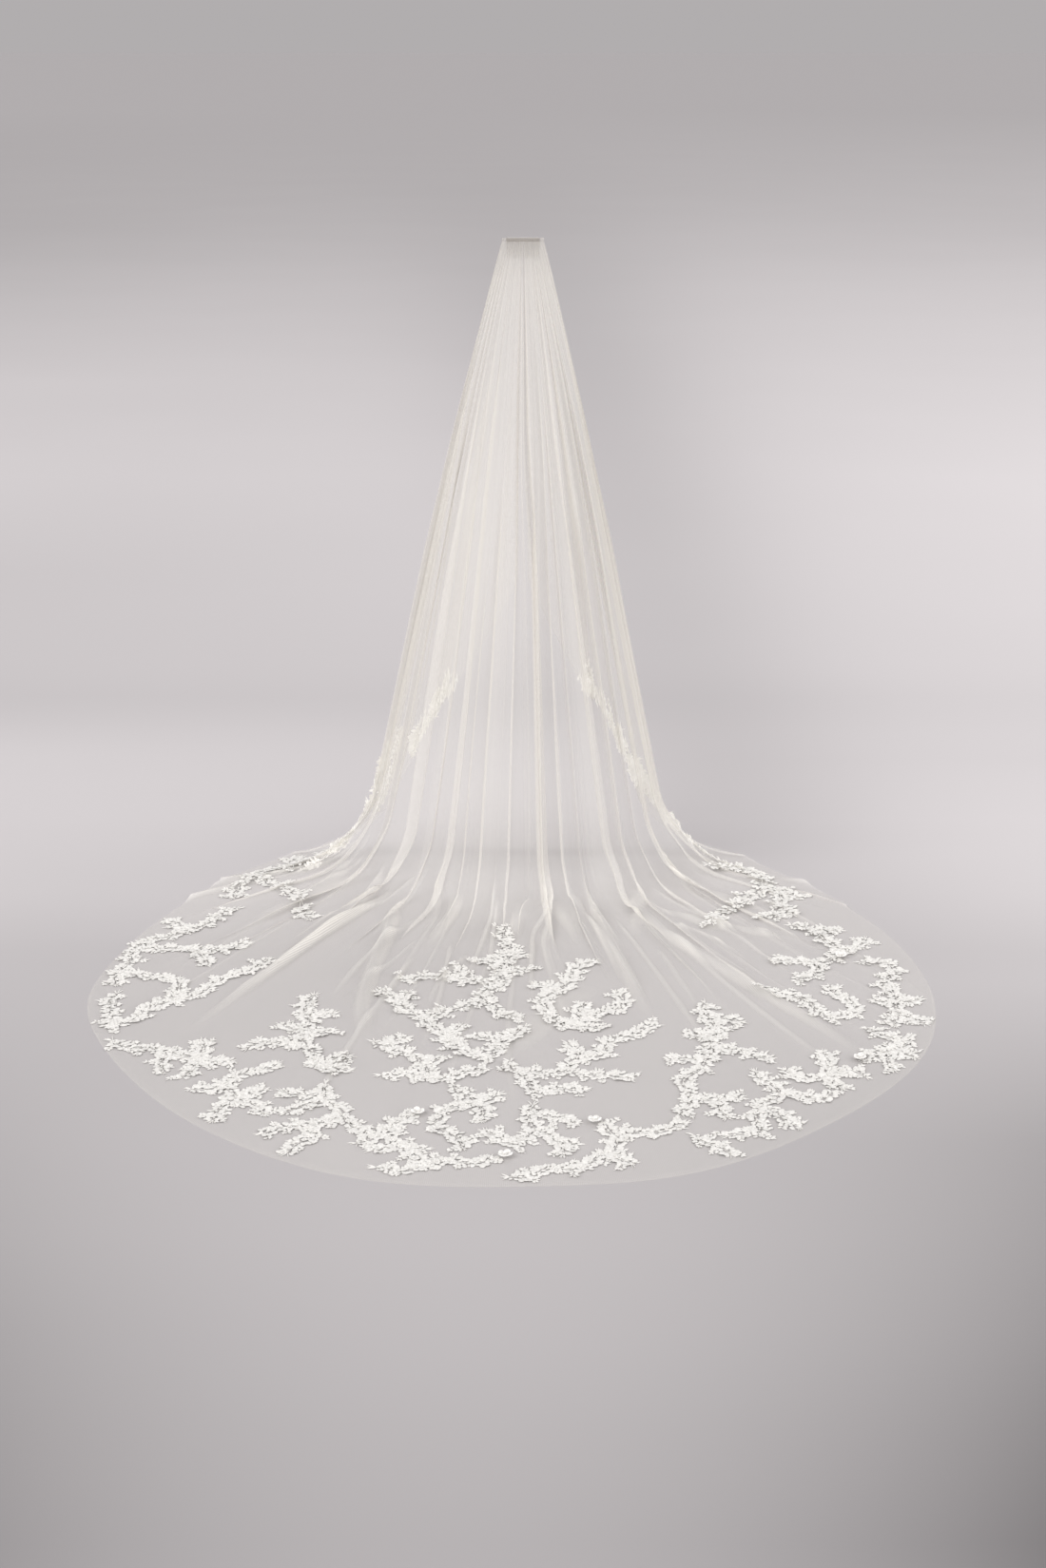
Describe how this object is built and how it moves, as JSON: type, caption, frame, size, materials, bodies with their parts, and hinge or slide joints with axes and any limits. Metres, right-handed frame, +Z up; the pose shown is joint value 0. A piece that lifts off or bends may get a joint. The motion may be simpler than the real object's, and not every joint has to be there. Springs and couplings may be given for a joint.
{
  "type": "bridal veil on a hair comb",
  "caption": "Long sheer veil gathered on a hair comb, hanging as a pleated cone with a round lace-edged train on the floor.",
  "frame": {"origin": "middle of the top edge of the comb, where the veil pins on", "axes": "+Z up, +X along the comb, and the train lies towards -Y"},
  "size_m": [1.9401, 1.815, 1.65],
  "materials": {
    "comb": "satin",
    "heading": "matte",
    "tulle": "matte",
    "lace": "matte"
  },
  "bodies": {
    "root": {"comb": "comb", "heading": "heading", "tulle": "tulle", "lace_left_back": "lace", "lace_left_shoulder": "lace", "lace_left_side": "lace", "lace_left_corner": "lace", "lace_left_front": "lace", "lace_left_spray": "lace", "lace_left_root": "lace", "lace_middle_spray": "lace", "lace_middle_right": "lace", "lace_middle_left": "lace", "lace_inner_left": "lace", "lace_inner_root": "lace", "lace_hem_left": "lace", "lace_middle_root": "lace", "lace_hem_middle": "lace", "lace_hem_right": "lace", "lace_right_back": "lace", "lace_right_shoulder": "lace", "lace_right_side": "lace", "lace_right_inner": "lace", "lace_right_corner": "lace", "lace_right_front": "lace", "lace_right_hem": "lace", "lace_right_spray": "lace", "lace_right_tail": "lace", "lace_flap_left": "lace", "lace_flap_right": "lace"}
  },
  "joints": []
}
